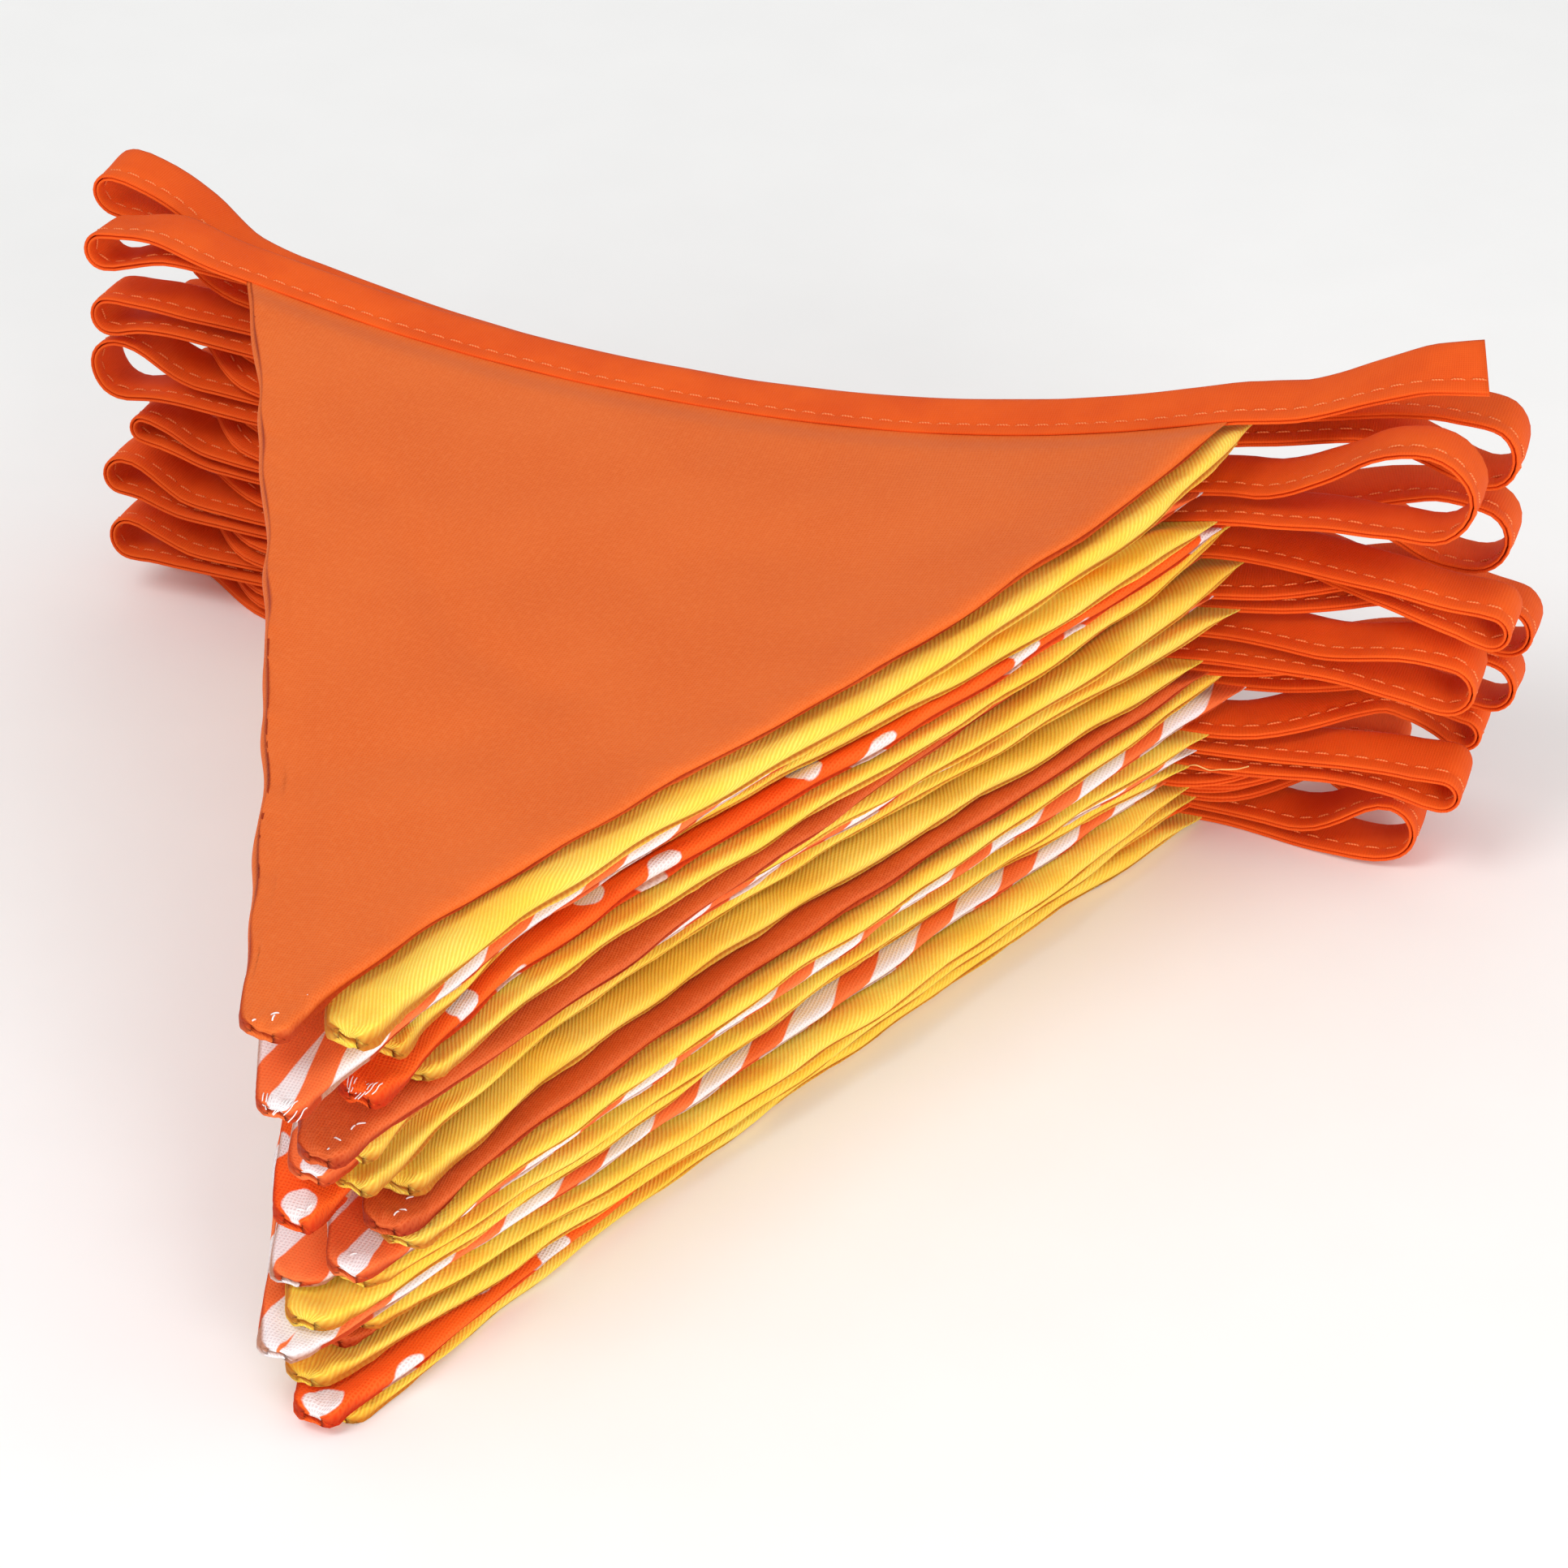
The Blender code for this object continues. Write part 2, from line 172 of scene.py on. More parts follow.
# Light that passes through its thick loose threads comes out more orange, so its shadows aren't grey
for look, value in (("Weight", 0.3), ("Radius", (1.0, 0.5, 0.1)), ("Scale", 2 * MM)):
    shader.inputs[f"Subsurface {look}"].default_value = value
ribs = threads(tree, flat, pitch=0.78, angle=-18.6, uneven=0.7)
filling = threads(tree, flat, pitch=0.75, angle=40)
hollow_shade = add(tree, "Math", {0: 1.0, 1: ribs}, operation="SUBTRACT")
shade = dyed(tree, flat, "#FFD64C", "#FFE56A", size=26)
# Painted shade: where the ribs dip, the colour turns a deeper, orange yellow
shade = tinted(tree, hollow_shade, shade, linear("#F4AC2A"), amount=0.6)
height = add(tree, "Math", {0: filling, 1: 0.3, 2: ribs}, operation="MULTIPLY_ADD")
seam_shaded(tree, shader, shade, height, depth=0.08)

# Dots: white ones 24 mm apart in rows 12 mm apart, each row half a pitch on, printed on an open weave
DOT_WIDTH, DOT_PITCH, DOT_RIM = 7.6, 24.0, 0.2
dots, tree, shader, flat = cotton("dotted_cotton", roughness=0.8, sheen=0.06, bloom="#FF9A60")
weave = woven(tree, flat, pitch=0.75)
nearest = 1.0
for shift in (0.0, 0.5):
    cell = {0: flat, 1: (1 / DOT_PITCH,) * 3, 2: (shift,) * 3}
    cell = add(tree, "VectorMath", cell, operation="MULTIPLY_ADD")
    cell = add(tree, "VectorMath", {0: cell}, operation="FRACTION")
    cell = {0: cell, 1: (1, 1, 0), 2: (-0.5, -0.5, 0)}
    cell = add(tree, "VectorMath", cell, operation="MULTIPLY_ADD")
    away = add(tree, "VectorMath", {0: cell}, out="Value", operation="LENGTH")
    nearest = add(tree, "Math", {0: away, 1: nearest}, operation="MINIMUM")
rim = [(DOT_WIDTH / 2 + soft) / DOT_PITCH for soft in (DOT_RIM, -DOT_RIM)]
printed = add(tree, "MapRange", {"Value": nearest, "From Min": rim[0], "From Max": rim[1]})
shade = dyed(tree, flat, "#F94A08", "#FF6216", size=30)
# Painted highlight on the threads' crests of the orange ground
shade = tinted(tree, weave, shade, linear("#FF7A34"), amount=0.4)
# The white print runs from a pinkish white between the threads to a lighter white on their crests, a painted
# highlight
white = tinted(tree, weave, linear("#E4CFCE"), linear("#F8EFEF"))
seam_shaded(tree, shader, tinted(tree, printed, shade, white), weave, depth=0.1)

# Stripes: white ones 7 mm wide and orange ones 6 mm wide, steep along the flag, which lean the other way
# past its centre line, printed on a plain weave
STRIPE_PERIOD, STRIPE_WHITE, STRIPE_RIM = 13.0, 7.0, 0.15
STRIPE_LEAN = math.radians(8.0)
zigzag, tree, shader, flat = cotton("striped_cotton", roughness=0.8, sheen=0.06, bloom="#FFB890")
weave = woven(tree, flat, pitch=0.7)
aside = add(tree, "VectorMath", {0: flat}, operation="ABSOLUTE")
aside = {0: aside, 1: (math.cos(STRIPE_LEAN), 0, 0)}
aside = add(tree, "VectorMath", aside, out="Value", operation="DOT_PRODUCT")
down = {0: flat, 1: (0, math.sin(STRIPE_LEAN), 0)}
down = add(tree, "VectorMath", down, out="Value", operation="DOT_PRODUCT")
across = add(tree, "Math", {0: aside, 1: down}, operation="ADD")
folded = add(tree, "Math", {0: across, 1: STRIPE_PERIOD / 2}, operation="PINGPONG")
rim = {"From Min": STRIPE_WHITE / 2 + STRIPE_RIM, "From Max": STRIPE_WHITE / 2 - STRIPE_RIM}
printed = add(tree, "MapRange", {"Value": folded, **rim})
# The white print runs from a pinkish white between the threads to a lighter white on their crests, a painted
# highlight
white = tinted(tree, weave, linear("#E6DADC"), linear("#F8F2F3"))
shade = dyed(tree, flat, "#F0642A", "#FA7A40", size=30)
# Painted highlight on the threads' crests of the orange ground
shade = tinted(tree, weave, shade, linear("#FF9058"), amount=0.25)
seam_shaded(tree, shader, tinted(tree, printed, shade, white), weave, depth=0.07)

CLOTHS = {"plain": rust, "twill": twill, "dots": dots, "zigzag": zigzag}


# --- The flags --------------------------------------------------------------------------------------
# Each flag is two triangles of one cloth, sewn face to face along two sides, turned right side out and
# pressed, so that its edges are two soft rolls with the seam between them. They lie one on the next in
# a stack that dips in the middle, each a little off from its neighbours.

FLAG_WIDTH, FLAG_LENGTH, TIP_WIDTH, TOP_SAG = 200, 215, 8, 3

# Each flag's cloth, how far its corners and its tip lie off a plain flag's, how far its sides bow out, and
# the shoulder of its right side, which stands out towards the corner and in towards the tip
FLAG_COLUMNS = (
    "cloth", "left_x", "left_y", "right_x", "right_y", "tip_x", "tip_y", "left_bow", "right_bow", "shoulder"
)
FLAG_ROWS = (
    ("plain", -1, 0, 0, 0, -2, 1, -4, -1.5, 11),
    ("twill", 2, 6, 4, 7, 9.5, 8, -5, -0.4, 14.5),
    ("twill", 4, 14, 1, 6, 9, 18, -5, -5.7, 11),
    ("zigzag", -2, 10, -3, -4, 2, -4, -4, -8, 4),
    ("twill", 0, 7, 1, -8, 10, 20, -5, -9.9, 12.1),
    ("dots", 1, 5, 2, -1, 9, 12, -4, -7.3, 9.6),
    ("twill", 2, 8, 2, 6, 13, 24, -4, -1.8, 7.8),
    ("plain", 1, 3, -3, 0, 5, 3, -4, -1.3, 0.5),
    ("twill", 1, 6, 5, 6, 8, 10, -4, -6, 13),
    ("zigzag", 0, 4, 0, -2, 2, 6, -5, -6, 5),
    ("twill", 2, 6, 5, 0, 8, 9, -4, -12, 5),
    ("dots", 0, 2, -2, -4, 1, 1, -4, -16, 4),
    ("twill", 0, 3, 0, -8, 12, 18, -5, -7.2, 4.6),
    ("plain", 2, 4, 1, -6, 12, 11, -4, -4.5, 3.2),
    ("twill", 4, 7, 5, 4, 14, 12, -3, -1.3, 3.1),
    ("zigzag", 2, 5, 7, 1, 8, 5, -4, -2.5, 0.3),
    ("twill", 1, 4, 3, -12, 8, 8, -5, -1.7, -3),
    ("zigzag", -1, 4, 1, -13, -3, 6, -5, -4, -2),
    ("twill", 0, 3, 0, -14, 2, 0, -5, -3.7, -6.9),
    ("zigzag", -1, 2, -4, -16, -1, -5, -5, 0.9, -1.7),
    ("twill", 2, 5, 0, -11, 6, 9, -4, 4.4, 0.5),
    ("plain", 1, 4, -2, -8, 3, 6, -6, -2, 0),
    ("twill", 0, 4, 0, -6, 2, -2, -7, 2.5, -1.3),
    ("dots", 1, 3, -1, -5, 6, -7, -6, -5.6, -5.2),
    ("twill", 2, 4, 1, -4, 8, -3, -6, -3.4, 0.8),
)
FLAGS = [dict(zip(FLAG_COLUMNS, row)) for row in FLAG_ROWS]
COUNT = len(FLAGS)

# The stack's height over the middle of the top edge, how much more at its left and its right corner, how
# steeply it rises to them and past them, and how it rises behind the right one and towards the tips
STACK_HEIGHT, LEFT_LIFT, RIGHT_LIFT, LIFT_POWER, PAST_CORNERS = 77, 10, 14.5, 2.2, 1.4
BACK_SLOPE, TIP_LIFT = 0.15, 1

# How thick the top and the bottom layer are beside a common one, and the gap between two layers
LOFT_TOP, LOFT_BOTTOM, LAYER_GAP = 1.22, 0.78, 0.7

# The layers' ripple: its height as a share of their thickness, its lengths along and across the stack,
# how far it moves on from layer to layer both ways, and how far from the top edge it is full
RIPPLE, RIPPLE_ALONG, RIPPLE_ACROSS, ALONG_STEP, ACROSS_STEP, RIPPLE_START = 0.11, 190, 230, 2.4, 4.1, 60

TAPE_WIDTH, TAPE_THICKNESS, TAPE_GAP = 13, 1.7, 0.3

# Where this stack's own measures lie in the shared frame: the top flag's left corner and top edge
low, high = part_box("flag_01")
SHIFT = np.array([low.x / MM + FLAG_WIDTH / 2 - FLAGS[0]["left_x"], high.y / MM, 0.0])


def mix(start, end, share):
    return start + (end - start) * share


def ease(share):
    """A soft step from 0 to 1."""
    share = np.clip(share, 0.0, 1.0)
    return share * share * (3 - 2 * share)


def arch(share):
    """A bow from 0 over 1 in the middle to 0."""
    return 4 * share * (1 - share)


def fade(distance, reach):
    """1 at no distance, and nearly 0 at twice the reach."""
    return np.exp(-((distance / reach) ** 2))


def wander(along, pitch, seed):
    """An uneven wave of about one height: three sines of unrelated lengths."""
    turns = np.asarray(along) / pitch * math.tau
    waves = ((1.0, 1.7), (0.618, 4.3), (1.53, 2.9))
    return sum(np.sin(turns * faster + seed * start) for faster, start in waves) / 2


def wave(kind, along, seed):
    """An uneven wave of a kind, which is its height and its length."""
    height, length = kind
    return height * wander(along, length, seed)


def gathers(kind, along, seed):
    """Gathers of a kind, which is their depth and their spacing."""
    depth, spacing = kind
    return depth * (0.5 + 0.5 * wander(along, spacing, seed))


lofts = np.linspace(LOFT_BOTTOM, LOFT_TOP, COUNT)
SHARES = np.concatenate([[0], np.cumsum(lofts) / lofts.sum()])


def stack_height(x, y):
    off_middle = np.abs(x) / (FLAG_WIDTH / 2)
    inside = np.minimum(1.0, off_middle)
    lift = np.where(x > 0, RIGHT_LIFT, LEFT_LIFT)
    rise = lift * (inside**LIFT_POWER + PAST_CORNERS * (off_middle - inside))
    back = np.where(x > 0, BACK_SLOPE * np.maximum(0.0, y) * inside, 0.0)
    return STACK_HEIGHT + rise + TIP_LIFT * np.clip(-y / FLAG_LENGTH, 0.0, 1.0) + back


def interface(level, x, y):
    """The height of the surface between two layers of the stack: 0 is under the bottom flag."""
    if level == 0:
        return np.zeros_like(x)
    whole = stack_height(x, y)
    thickness = whole * (SHARES[level] - SHARES[level - 1])
    along = np.sin(math.tau * x / RIPPLE_ALONG + level * ALONG_STEP)
    across = np.cos(math.tau * y / RIPPLE_ACROSS + level * ACROSS_STEP)
    return whole * SHARES[level] + RIPPLE * thickness * along * across * ease(-y / RIPPLE_START)


def layer(index, x, y):
    """The foot and the top of the layer that holds one flag, counted from the top one."""
    x, y = np.asarray(x, float), np.asarray(y, float)
    level = COUNT - 1 - index
    foot = interface(level, x, y) + (LAYER_GAP / 2 if level else 0.0)
    return foot, interface(level + 1, x, y) - LAYER_GAP / 2


def outline(flag, across, down):
    """Points of a flag seen from above, at shares of its width and of its length."""
    bow = arch(down)
    first_x = mix(flag["left_x"] - FLAG_WIDTH / 2, flag["tip_x"] - TIP_WIDTH / 2, down)
    first_x = first_x - flag["left_bow"] * bow
    last_x = mix(flag["right_x"] + FLAG_WIDTH / 2, flag["tip_x"] + TIP_WIDTH / 2, down)
    last_x = last_x + (flag["right_bow"] + flag["shoulder"] * (1 - 2 * down)) * bow
    first_y = mix(flag["left_y"], flag["tip_y"] - FLAG_LENGTH, down)
    last_y = mix(flag["right_y"], flag["tip_y"] - FLAG_LENGTH, down)
    sag = TOP_SAG * arch(across) * (1 - down)
    return mix(first_x, last_x, across), mix(first_y, last_y, across) - sag


# The rolled edge, line by line from the seam inwards: how much of the panel's height it has there, how
# much of its bulge past the seam, and how far in it has come, for a panel of a common height
ROLL = (
    (0.0, 0.0, 0.0), (0.3, 0.8, 0.0), (0.58, 1.0, 0.0), (0.82, 0.8, 0.15),
    (0.95, 0.25, 0.8), (1.0, 0.0, 2.1), (0.97, 0.0, 4.0), (0.9, 0.0, 6.6),
)
FULLNESS, BULGING, INWARD = np.array(ROLL).T

# That common height, and how far a roll bulges past the seam as a share of its height
HALF_LOFT, BULGE = 1.6, 0.45

# A long side's length, and how much longer the way to it is along a row than straight across
SEAM_LENGTH, SIDE_SLANT = 235, 1.1

# Which way the seam lies: at the left edge it shows on top, as the back panel rolls over it, and at the
# right edge it lies low, under the front panel. Each is a share of the half thickness, as is their limit.
SEAM_LEFT, SEAM_RIGHT, SEAM_LIMIT = 0.62, -0.5, 0.8


def roll(seam_height, sign):
    """How far in each line of a panel's roll lies, and how far in it would lie on the flat cloth."""
    heights = [HALF_LOFT * (1 - way * seam_height) for way in (1, -1)]
    height = heights[0] if sign > 0 else heights[1]
    inset = BULGE * max(heights) - BULGE * height * BULGING + INWARD * height / HALF_LOFT
    steps = np.hypot(np.diff(inset), np.diff(FULLNESS * height))
    return inset, np.concatenate([[0], np.cumsum(steps)])


# How much each cloth swells past the flag above, from where inside its edge to where outside it, and how
# much and how soon it hangs past the flag below
PUFF = {"plain": 1.0, "twill": 1.3, "dots": 1.4, "zigzag": 0.5}
PUFF_FROM, PUFF_TO = -0.5, 4.0
DROOP, DROOP_BY = 0.7, 5

# How far the print of the back panel misses that of the front one at the seam
PRINT_MISS = 1.5

# A flag's uneven waves, each with its height and its length: those of its seam at either side, as shares
# of the half thickness, of its whole edge and of each panel's, of its cloth both ways and just below the
# tape, of how much it swells, and the creases of its tip
LEFT_SEAM_WAVE, RIGHT_SEAM_WAVE, EDGE_WAVE, PANEL_WAVE = (0.2, 61), (0.36, 53), (0.45, 41), (0.35, 27)
SOFT_WAVE, CROSS_WAVE, UPPER_WAVE, PUFF_WAVE = (0.1, 55), (0.1, 48), (0.25, 21), (0.25, 33)
CREASES, FINE_CREASES = (0.28, 6.5), (0.12, 3.1)

# Its gathers, each with their depth and their spacing
SEAM_GATHERS, TAPE_GATHERS = (0.3, 8.5), (0.4, 6.5)

# How far in the edge's waves, its gathers and the tip's creases reach, and, of the tape's gathers and the
# wave below it, how far down each lies and how far it reaches
EDGE_REACH, GATHERS_REACH, CREASES_REACH = 9.0, 5.0, 7.0
TAPE_GATHERS_AT, TAPE_GATHERS_REACH, UPPER_WAVE_AT, UPPER_WAVE_REACH = 3.5, 4.0, 9, 8

# How soon the waves set in along the seam, and how far below the tape a flag has its full height
SETTLED_BY, FULL_BY = 25, 10

# The first rows of a flag, from the one inside the tape down to where the even rows begin, how much of
# its width one roll can take, and the radius of its tip's corners
TOP_ROWS = (-1.8, -0.9, -0.1, 0.8, 2.0, 3.6, 5.6, 8.0)
WIDEST_ROLL, TIP_ROUND = 0.46, 2.4

# Half a flag's height inside the tape, how much of the gap between layers each half takes, the least
# height a panel keeps over its seam, the floor's clearance, and any distance far from a side
HALF_IN_TAPE, GAP_TAKEN, LEAST_RISE, OFF_FLOOR, FAR_INSIDE = 0.2, 0.1, 0.12, 0.05, 40.0

# Soft troughs pressed into the top flag: two ends, seen from above, depth and half width, and the share of
# their length over which they end
TROUGH_END = 0.25
TROUGHS = (
    (-52, -54, -34, -76, 0.5, 5), (-34, -76, -13, -101, 0.8, 4.5), (-13, -101, 10, -113, 0.6, 6),
    (-44, -108, -14, -182, 0.9, 6.5), (-74, -40, -58, -84, 0.35, 9), (3, -8, 5, -26, 0.35, 4),
    (27, -10, 29, -30, 0.3, 4), (66, -22, 82, -15, 0.4, 5), (20, -50, 52, -62, 0.35, 11),
    (-26, -150, 2, -126, 0.4, 8),
)


def trough_depth(x, y):
    """How deep the troughs are at points seen from above."""
    depth = np.zeros_like(x)
    for x0, y0, x1, y1, deep, half_width in TROUGHS:
        length = math.hypot(x1 - x0, y1 - y0)
        along = ((x - x0) * (x1 - x0) + (y - y0) * (y1 - y0)) / length**2
        off = ((x - x0) * (y1 - y0) - (y - y0) * (x1 - x0)) / length
        ends = ease((along + TROUGH_END) / (2 * TROUGH_END))
        ends = ends * ease((1 + TROUGH_END - along) / (2 * TROUGH_END))
        depth += deep * fade(off, half_width) * ends
    return depth


def outside(flag, x, y):
    """How far points seen from above lie outside a flag's sides and tip. Inside it is negative."""
    tip_y = flag["tip_y"] - FLAG_LENGTH
    top_y = (flag["left_y"] + flag["right_y"]) / 2
    down = np.clip((top_y - y) / (top_y - tip_y), 0, 1)
    first_x, last_x = outline(flag, 0.0, down)[0], outline(flag, 1.0, down)[0]
    return np.maximum(np.maximum(first_x - x, x - last_x) / SIDE_SLANT, tip_y - y)


def mirrored(points, centre):
    """Flat coordinates turned over the flag's nearer long edge, so that a print runs on over the seam, a
    little off, because the two panels are cut separately."""
    flipped = points.copy()
    for side in (-1, 1):
        corner = np.array([side * FLAG_WIDTH / 2, 0.0])
        edge = np.array([side * TIP_WIDTH / 2, -FLAG_LENGTH]) - corner
        edge = edge / np.linalg.norm(edge)
        away = points - corner
        turned = corner + 2 * (away @ edge)[..., None] * edge - away
        chosen = centre * side > 0
        flipped[chosen] = turned[chosen] + (0.0, PRINT_MISS)
    return flipped


def rows_down(row_count, from_tip):
    """How far below the top edge a flag's rows lie: the first ones, even ones, and the roll at its tip."""
    even = np.linspace(TOP_ROWS[-1], FLAG_LENGTH - from_tip[-1], row_count + 2)[1:-1]
    return np.concatenate([TOP_ROWS, even, FLAG_LENGTH - from_tip[::-1]])


def columns_across(left, right, scale, column_count):
    """Each row's columns as shares of its width: the roll at the left, even ones, and that at the right."""
    first, last = left * scale, 1 - right[::-1] * scale
    inner = np.linspace(0, 1, column_count + 2)[1:-1]
    return np.concatenate([first, mix(first[:, -1:], last[:, :1], inner), last], axis=1)


def flag_surfaces(index, row_count, column_count):
    """The upper and the lower panel of a flag as grids of points, each with its flat coordinates and how far
    from the seam its points lie."""

    def in_columns(left, between, right):
        return np.concatenate([left, np.full(column_count, between), right[::-1]])

    flag = FLAGS[index]
    tip_inset, tip_cloth = roll(0.0, 1)
    rolls = {}
    for side, way in ((-1, SEAM_LEFT), (1, SEAM_RIGHT)):
        rolls[side, 1], rolls[side, -1] = roll(way, 1), roll(way, -1)
    deepest = max(cloth[-1] for _, cloth in rolls.values()) * SIDE_SLANT
    fall, cloth_fall = rows_down(row_count, tip_inset), rows_down(row_count, tip_cloth)
    row_fullness = np.concatenate([[0.0], np.ones(len(TOP_ROWS) - 1 + row_count), FULLNESS[::-1]])
    down, cloth_down = np.clip(fall / FLAG_LENGTH, 0, 1), np.clip(cloth_fall / FLAG_LENGTH, 0, 1)
    past_top, from_tape = np.maximum(0.0, -fall)[:, None], np.maximum(0.0, fall)[:, None]
    seam = fall / FLAG_LENGTH * SEAM_LENGTH
    settle = ease(seam / SETTLED_BY)[:, None]
    free = ease(fall / FULL_BY)[:, None]
    first_x, last_x = outline(flag, 0.0, down)[0], outline(flag, 1.0, down)[0]
    width = last_x - first_x
    squeeze = np.minimum(1.0, WIDEST_ROLL * width / deepest)
    scale = (SIDE_SLANT * squeeze / width)[:, None]
    to_tip = FLAG_LENGTH - fall
    corner = TIP_ROUND - np.sqrt(np.maximum(0.0, TIP_ROUND**2 - np.maximum(0.0, TIP_ROUND - to_tip) ** 2))
    rounding = (1 - 2 * corner / width)[:, None]
    left_seam = SEAM_LEFT + wave(LEFT_SEAM_WAVE, seam, index * 1.3)[:, None]
    right_seam = SEAM_RIGHT + wave(RIGHT_SEAM_WAVE, seam, index * 2.3 + 1)[:, None]
    surfaces = []
    for panel, sign in enumerate((1, -1)):
        # The seeds set the waves of each flag, panel and side apart
        seed = index * 5.7 + panel * 2.2
        (left_inset, left_cloth), (right_inset, right_cloth) = rolls[-1, sign], rolls[1, sign]
        across = columns_across(left_inset, right_inset, scale, column_count)
        cloth_across = columns_across(left_cloth, right_cloth, scale, column_count)
        fullness = in_columns(FULLNESS, FULLNESS[-1], FULLNESS) * row_fullness[:, None]
        side = in_columns(-np.ones(len(FULLNESS)), 0.0, np.ones(len(FULLNESS)))
        inset = in_columns(left_inset, FAR_INSIDE, right_inset)
        from_side = in_columns(left_cloth, FAR_INSIDE, right_cloth)

        # Where the points lie seen from above
        x, y = outline(flag, across, down[:, None])
        centre_x = outline(flag, 0.5, down[:, None])[0]
        x, y = centre_x + (x - centre_x) * rounding, y + past_top
        pucker = np.zeros_like(x)
        for way in (-1, 1):
            shared = wave(EDGE_WAVE, seam, index * 2.7 + way)[:, None]
            own = wave(PANEL_WAVE, seam, seed + way)[:, None] * fullness
            x = x + way * (side == way) * fade(inset, EDGE_REACH) * (shared + own) * settle
            gathered = gathers(SEAM_GATHERS, seam, seed * 2 + way)[:, None]
            pucker += (side == way) * fade(inset, GATHERS_REACH) * gathered

        # How high they lie
        foot, top = layer(index, x, y)
        tape_y = mix(flag["left_y"], flag["right_y"], across) - TOP_SAG * arch(across) + TAPE_GAP
        slit = layer(index, x, tape_y)[0] + TAPE_THICKNESS / 2
        middle = mix(slit, (foot + top) / 2, free)
        half = mix(np.full_like(x, HALF_IN_TAPE), (top - foot) / 2 + GAP_TAKEN, free)
        gathered = gathers(TAPE_GATHERS, x, seed * 3) * (from_tape > 0)
        pucker += gathered * fade(from_tape - TAPE_GATHERS_AT, TAPE_GATHERS_REACH)
        pucker += wave(UPPER_WAVE, x, seed * 2) * fade(from_tape - UPPER_WAVE_AT, UPPER_WAVE_REACH)
        seam_height = np.clip(mix(left_seam, right_seam, across), -SEAM_LIMIT, SEAM_LIMIT)
        soft = wave(SOFT_WAVE, x + 0.6 * y, seed) + wave(CROSS_WAVE, y - 0.4 * x, seed + 3)
        rise = half * fullness - fullness * settle * (pucker + soft * free)
        if sign > 0 and index:
            proud = ease((outside(FLAGS[index - 1], x, y) - PUFF_FROM) / (PUFF_TO - PUFF_FROM))
            swell = PUFF[flag["cloth"]] * (1 + wave(PUFF_WAVE, seam, seed)[:, None])
            rise = rise + swell * proud * fullness * settle
        if sign > 0 and not index:
            rise = rise - trough_depth(x, y) * fullness
        height = middle + half * seam_height * (1 - fullness)
        height = height + sign * np.maximum(rise, LEAST_RISE * fullness)
        if index + 1 < COUNT:
            height = height - DROOP * ease(outside(FLAGS[index + 1], x, y) / DROOP_BY) * settle
        creases = wave(CREASES, x * 1.3 + y, index * 5.7) + wave(FINE_CREASES, y - x, index)
        height = height + fade(to_tip, CREASES_REACH)[:, None] * creases
        points = np.stack([x, y, np.maximum(height, OFF_FLOOR)], axis=2)

        # Where they lie on the flat cloth, and how far from the seam
        flat_x, flat_y = outline(dict.fromkeys(FLAG_COLUMNS, 0), cloth_across, cloth_down[:, None])
        flat = np.stack(np.broadcast_arrays(flat_x, flat_y + past_top), axis=2)
        from_seam = np.minimum(from_side * squeeze[:, None], FLAG_LENGTH - cloth_fall[:, None])
        surfaces.append((points, flat, from_seam))
    return surfaces


def placed(name, data):
    """A new object in the scene."""
    item = bpy.data.objects.new(name, data)
    bpy.context.collection.objects.link(item)
    return item


def soft_mesh(name, points, faces, flat):
    """A smooth piece from its points, with the flat coordinates of each face's corners."""
    data = bpy.data.meshes.new(name)
    data.from_pydata(((points + SHIFT) * MM).tolist(), [], faces)
    data.uv_layers.new(name="cloth").data.foreach_set("uv", np.asarray(flat, float).ravel())
    data.shade_smooth()
    return placed(name, data)


def face_out(piece, open_ends=False):
    """Turns all faces of a piece outwards, after closing its open ends where it has them."""
    bpy.context.view_layer.objects.active = piece
    piece.select_set(True)
    bpy.ops.object.mode_set(mode="EDIT")
    if open_ends:
        bpy.ops.mesh.select_all(action="DESELECT")
        bpy.ops.mesh.select_non_manifold()
        bpy.ops.mesh.fill_holes(sides=0)
    bpy.ops.mesh.select_all(action="SELECT")
    bpy.ops.mesh.normals_make_consistent(inside=False)
    bpy.ops.object.mode_set(mode="OBJECT")
    piece.select_set(False)


def corner_blocks(grid):
    """The four corners of every face of a grid, in the order that turns each face up."""
    corners = np.stack([grid[:-1, :-1], grid[1:, :-1], grid[1:, 1:], grid[:-1, 1:]], axis=2)
    return corners.reshape(-1, 4, *grid.shape[2:])


def sewn(name, surfaces, cut_at):
    """Two panels joined all the way round their edge, cut from a place along their cloth."""
    (upper, upper_flat, upper_seam), (lower, lower_flat, lower_seam) = surfaces
    rows, columns = upper.shape[:2]
    over = np.arange(rows * columns).reshape(rows, columns)
    under = over.copy()
    under[1:-1, 1:-1] = rows * columns + np.arange((rows - 2) * (columns - 2)).reshape(rows - 2, columns - 2)
    points = np.concatenate([upper.reshape(-1, 3), lower[1:-1, 1:-1].reshape(-1, 3)])
    faces = np.concatenate([corner_blocks(over), corner_blocks(under)[:, ::-1]])
    under_flat = corner_blocks(lower_flat)[:, ::-1]
    centre = np.repeat(under_flat[:, :, 0].mean(axis=1, keepdims=True), 4, axis=1)
    flat = np.concatenate([corner_blocks(upper_flat), mirrored(under_flat, centre)]) + (0.0, cut_at)
    piece = soft_mesh(name, points, faces.tolist(), flat)
    from_seam = np.concatenate([upper_seam.ravel(), lower_seam[1:-1, 1:-1].ravel()])
    piece.data.attributes.new("from_seam", "FLOAT", "POINT").data.foreach_set("value", from_seam)
    return piece


# Where along the cloth the first flag was cut, and how much further on each next one, so that no two
# prints are alike
CUT_START, CUT_STEP = 32, 62.05

